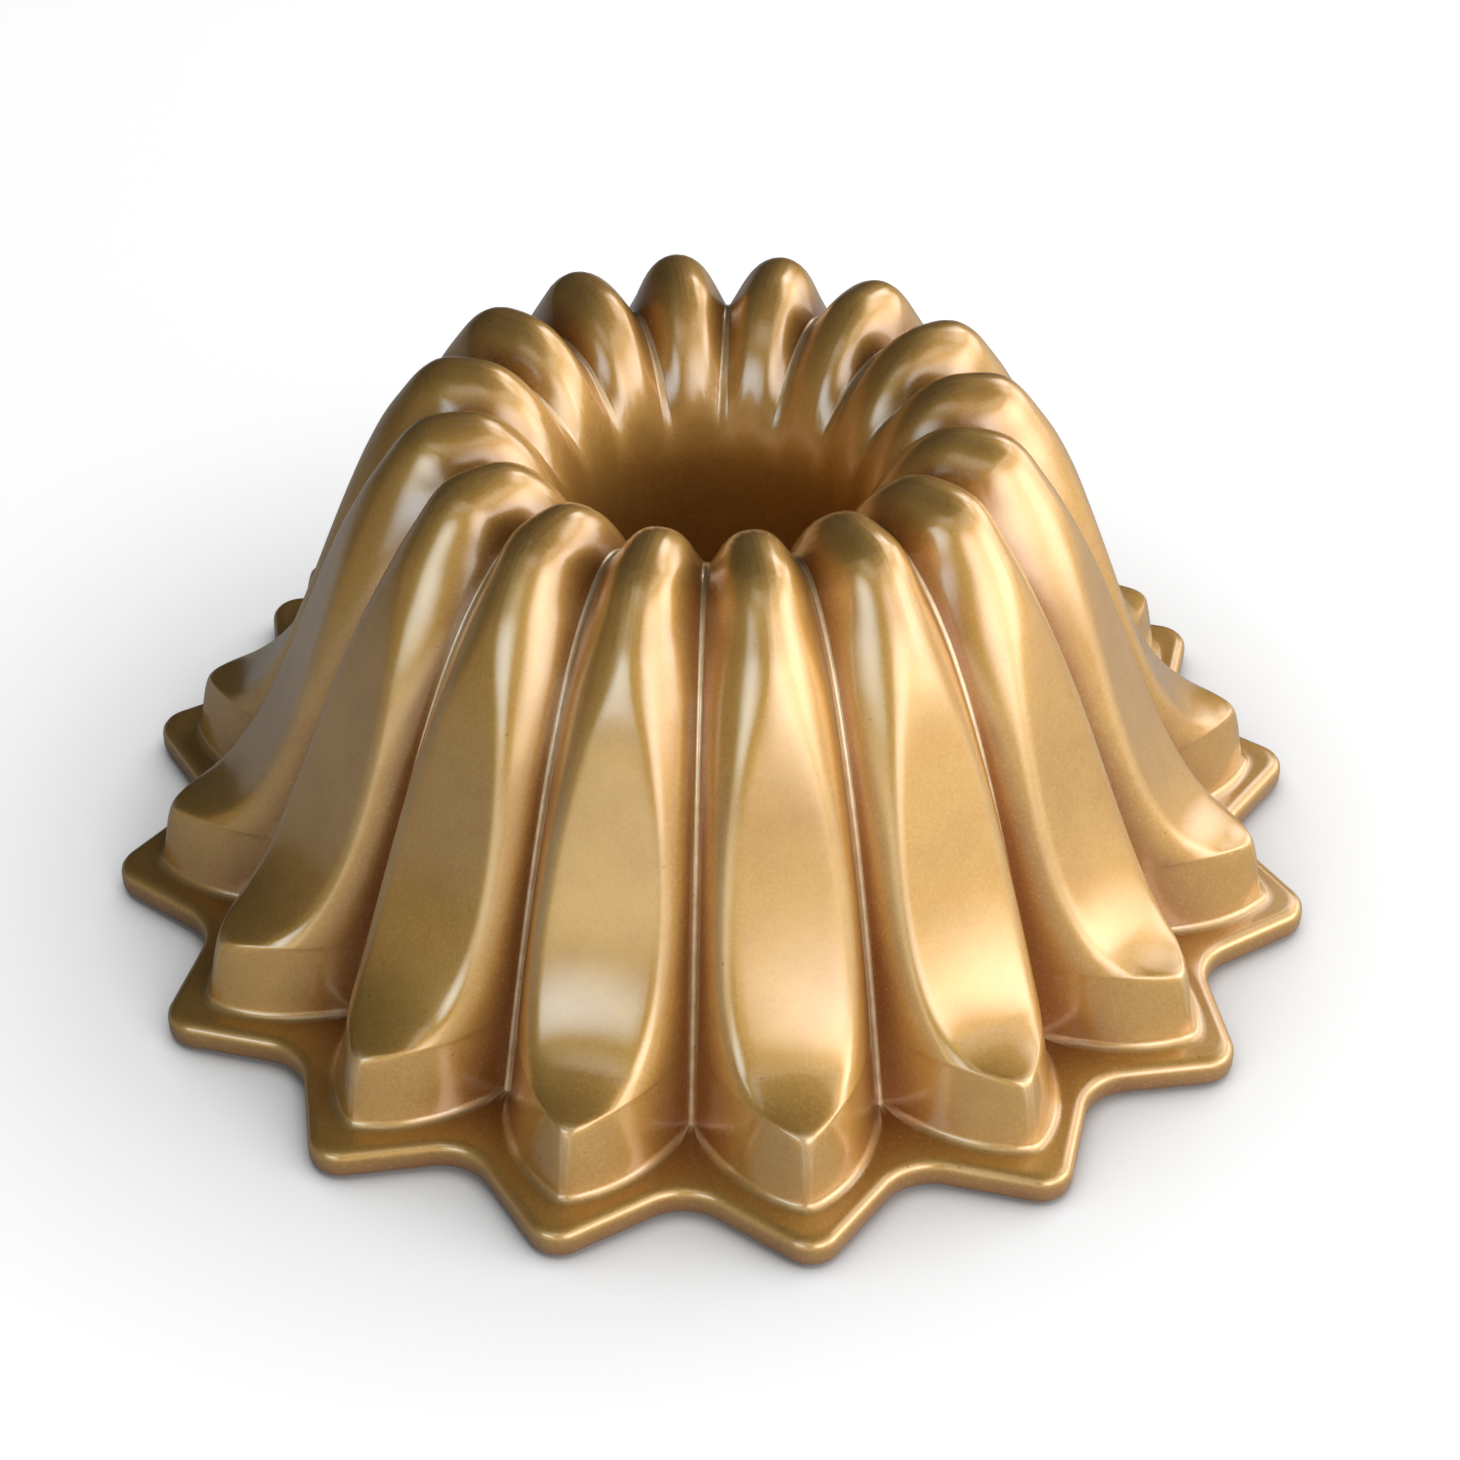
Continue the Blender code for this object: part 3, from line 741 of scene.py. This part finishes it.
def satin_gold():
    """Satin gold coating on cast metal: fine flake, soft mottling, small pits, edges painted paler as wear
    and highlight, a painted highlight line in the grooves and painted shade in recesses.
    """
    material = bpy.data.materials.new("satin_gold")
    material.use_nodes = True
    tree = material.node_tree
    shader = tree.nodes["Principled BSDF"]
    place = add_node(tree, "ShaderNodeTexCoord").outputs["Object"]
    grain = noise(tree, place, GRAIN)
    peel = noise(tree, place, PEEL)
    mottle = noise(tree, place, MOTTLE)
    pit = add_node(tree, "ShaderNodeTexVoronoi", {"Vector": place, "Scale": PIT_SCALE}).outputs["Distance"]
    pit = maths(tree, "MULTIPLY", ranged(tree, pit, PIT_RANGE, FALLING), PIT_SHARE)
    # Deep tone in soft patches, plus painted shade in recesses
    colour = mixed(tree, deep_tone_and_painted_shade_share(tree, mottle), GOLD, DEEP_GOLD)
    colour = mixed(tree, ranged(tree, grain, BRIGHT_GRAIN_RANGE, GRAIN_SHARES), colour, PALE_GOLD)
    colour = mixed(tree, ranged(tree, grain, DARK_GRAIN_RANGE, GRAIN_SHARES), colour, DEEP_GOLD)
    # Paler edges and grooves: wear and painted highlight
    colour = mixed(tree, wear_and_painted_highlight_share(tree, place, peel), colour, PALE_GOLD)
    colour = mixed(tree, pit, colour, DEEP_GOLD)
    rough = ranged(tree, grain, GRAIN_ROUGH_RANGE, ROUGHNESSES)
    rough = maths(tree, "ADD", rough, ranged(tree, mottle, MOTTLE_ROUGH_RANGE, MOTTLE_ROUGHNESSES))
    bump = add_node(tree, "ShaderNodeBump", {"Height": peel, "Distance": PEEL_RELIEF, "Strength": 1.0})
    bump = add_node(tree, "ShaderNodeBump", {
        "Height": grain, "Distance": GRAIN_RELIEF, "Strength": 1.0, "Normal": bump.outputs["Normal"]})
    tree.links.new(colour, shader.inputs["Base Color"])
    tree.links.new(rough, shader.inputs["Roughness"])
    tree.links.new(bump.outputs["Normal"], shader.inputs["Normal"])
    shader.inputs["Metallic"].default_value = METALLIC
    shader.inputs["Coat Weight"].default_value = 1.0
    shader.inputs["Coat Roughness"].default_value = COAT_ROUGHNESS
    shader.inputs["Coat IOR"].default_value = COAT_IOR
    return material


pan.data.materials.append(satin_gold())


# Floor and surroundings
FLOOR_HALF = 4.0
FLOOR_DROP = 0.0001
FLOOR_COLOUR = (0.50, 0.50, 0.50, 1.0)
FLOOR_ROUGHNESS = 0.7
FLOOR_GLOW = 0.82
FLOOR_GLOW_REFLECTED = 0.08
SHADOW_REACH = 0.12
SHADOW_RANGE = (0.4, 1.0)
WORLD_GREY = 0.025

# Lamps, with the factor that keeps a faded lamp's mean strength at one
WHITE = (1.0, 1.0, 1.0)
FADE_FACTOR = 36.0
LAMP_TARGET = Vector((0.0, 0.0, 0.06))

# Each lamp's name, azimuth and elevation in degrees, distance, width, height, radiance and colour
SOFTBOXES = (
    ("window", -28, 18, 1.1, 0.80, 0.48, 1.6, (0.70, 0.87, 1.0)),
    ("left", -72, 8, 1.1, 0.80, 0.50, 0.12, (1.0, 0.60, 0.25)),
    ("low", -14, 0.5, 1.1, 1.20, 0.20, 0.85, (1.0, 0.88, 0.65)),
    ("front", 31, 17, 1.1, 0.86, 0.78, 1.65, WHITE),
    ("key", 75, 17, 1.1, 1.30, 0.78, 1.65, WHITE),
    ("side", 121, 16, 1.1, 0.97, 0.70, 1.2, WHITE),
    ("upper", 60, 46, 1.2, 1.75, 0.50, 0.42, WHITE),
    ("right", 118, 44, 1.2, 0.80, 0.60, 0.9, WHITE),
    ("above", -16, 46, 1.2, 1.10, 0.50, 0.36, WHITE),
    ("back", 147, 35, 1.2, 0.50, 0.56, 1.6, WHITE),
)


def add_floor():
    """A plain floor, pale to the camera, dim in reflections and darker close to the pan."""
    mesh = bpy.data.meshes.new("floor")
    corners = [(x * FLOOR_HALF, y * FLOOR_HALF, 0.0) for x, y in ((-1, -1), (1, -1), (1, 1), (-1, 1))]
    mesh.from_pydata(corners, [], [(0, 1, 2, 3)])
    floor = bpy.data.objects.new("floor", mesh)
    floor.location.z = -FLOOR_DROP
    bpy.context.scene.collection.objects.link(floor)
    material = bpy.data.materials.new("pale_floor")
    material.use_nodes = True
    tree = material.node_tree
    shader = tree.nodes["Principled BSDF"]
    shader.inputs["Base Color"].default_value = FLOOR_COLOUR
    shader.inputs["Roughness"].default_value = FLOOR_ROUGHNESS
    shader.inputs["Specular IOR Level"].default_value = 0.0
    rays = add_node(tree, "ShaderNodeLightPath").outputs
    seen = maths(tree, "MULTIPLY", rays["Is Camera Ray"], FLOOR_GLOW)
    reflected = maths(tree, "MAXIMUM", rays["Is Glossy Ray"], rays["Is Transmission Ray"])
    reflected = maths(tree, "MULTIPLY", reflected, FLOOR_GLOW_REFLECTED)
    near = add_node(tree, "ShaderNodeAmbientOcclusion", {"Distance": SHADOW_REACH}).outputs["AO"]
    shadow = ranged(tree, near, SHADOW_RANGE, RISING)
    glow = maths(tree, "MULTIPLY", maths(tree, "MAXIMUM", seen, reflected), shadow)
    tree.links.new(glow, shader.inputs["Emission Strength"])
    shader.inputs["Emission Color"].default_value = (*WHITE, 1.0)
    mesh.materials.append(material)


def fade_to_edges(data):
    """Fades a lamp from its middle to nothing at its edges, with the same mean strength."""
    data.use_nodes = True
    tree = data.node_tree
    place = add_node(tree, "ShaderNodeNewGeometry").outputs["Parametric"]
    place = add_node(tree, "ShaderNodeSeparateXYZ", {"Vector": place}).outputs
    fades = [
        maths(tree, "MULTIPLY", place[axis], maths(tree, "SUBTRACT", 1.0, place[axis]))
        for axis in ("X", "Y")]
    strength = maths(tree, "MULTIPLY", maths(tree, "MULTIPLY", *fades), FADE_FACTOR)
    tree.links.new(strength, tree.nodes["Emission"].inputs["Strength"])


def add_softbox(name, azimuth, elevation, distance, width, height, radiance, colour):
    """A soft lamp towards the pan; azimuth 0 is the camera's side and 90 the right."""
    data = bpy.data.lights.new(name, "AREA")
    data.shape = "RECTANGLE"
    data.size, data.size_y = width, height
    data.energy = radiance * math.pi * width * height
    data.color = colour
    fade_to_edges(data)
    lamp = bpy.data.objects.new(name, data)
    azimuth, elevation = math.radians(azimuth), math.radians(elevation)
    away = Vector((
        math.sin(azimuth) * math.cos(elevation),
        -math.cos(azimuth) * math.cos(elevation),
        math.sin(elevation)))
    lamp.location = LAMP_TARGET + away * distance
    lamp.rotation_euler = away.to_track_quat("Z", "Y").to_euler()
    bpy.context.scene.collection.objects.link(lamp)


def add_world():
    """Dim plain surroundings."""
    world = bpy.data.worlds.new("studio")
    world.use_nodes = True
    ground = world.node_tree.nodes["Background"]
    ground.inputs["Color"].default_value = (WORLD_GREY, WORLD_GREY, WORLD_GREY, 1.0)
    bpy.context.scene.world = world


add_floor()
add_world()
for softbox in SOFTBOXES:
    add_softbox(*softbox)


# View
CAMERA_AIM = Vector((0.00342, 0.00012, 0.02984))
CAMERA_DISTANCE = 0.68462
CAMERA_AZIMUTH = math.radians(-87.942)
CAMERA_ELEVATION = math.radians(38.492)
CAMERA_ROLL = math.radians(0.605)
CAMERA_LENS = 75.69
CAMERA_SENSOR = 36.0
CAMERA_CLIP = 0.01


def add_camera():
    """The camera, where it sees the pan as the photograph does."""
    data = bpy.data.cameras.new("view")
    data.sensor_fit = "HORIZONTAL"
    data.sensor_width = CAMERA_SENSOR
    data.lens = CAMERA_LENS
    data.clip_start = CAMERA_CLIP
    camera = bpy.data.objects.new("view", data)
    away = Vector((
        math.cos(CAMERA_ELEVATION) * math.cos(CAMERA_AZIMUTH),
        math.cos(CAMERA_ELEVATION) * math.sin(CAMERA_AZIMUTH),
        math.sin(CAMERA_ELEVATION)))
    turn = (-away).to_track_quat("-Z", "Y").to_matrix() @ Matrix.Rotation(CAMERA_ROLL, 3, "Z")
    camera.matrix_world = Matrix.Translation(CAMERA_AIM + away * CAMERA_DISTANCE) @ turn.to_4x4()
    bpy.context.scene.collection.objects.link(camera)
    bpy.context.scene.camera = camera


add_camera()
bpy.context.scene.view_settings.view_transform = "Standard"
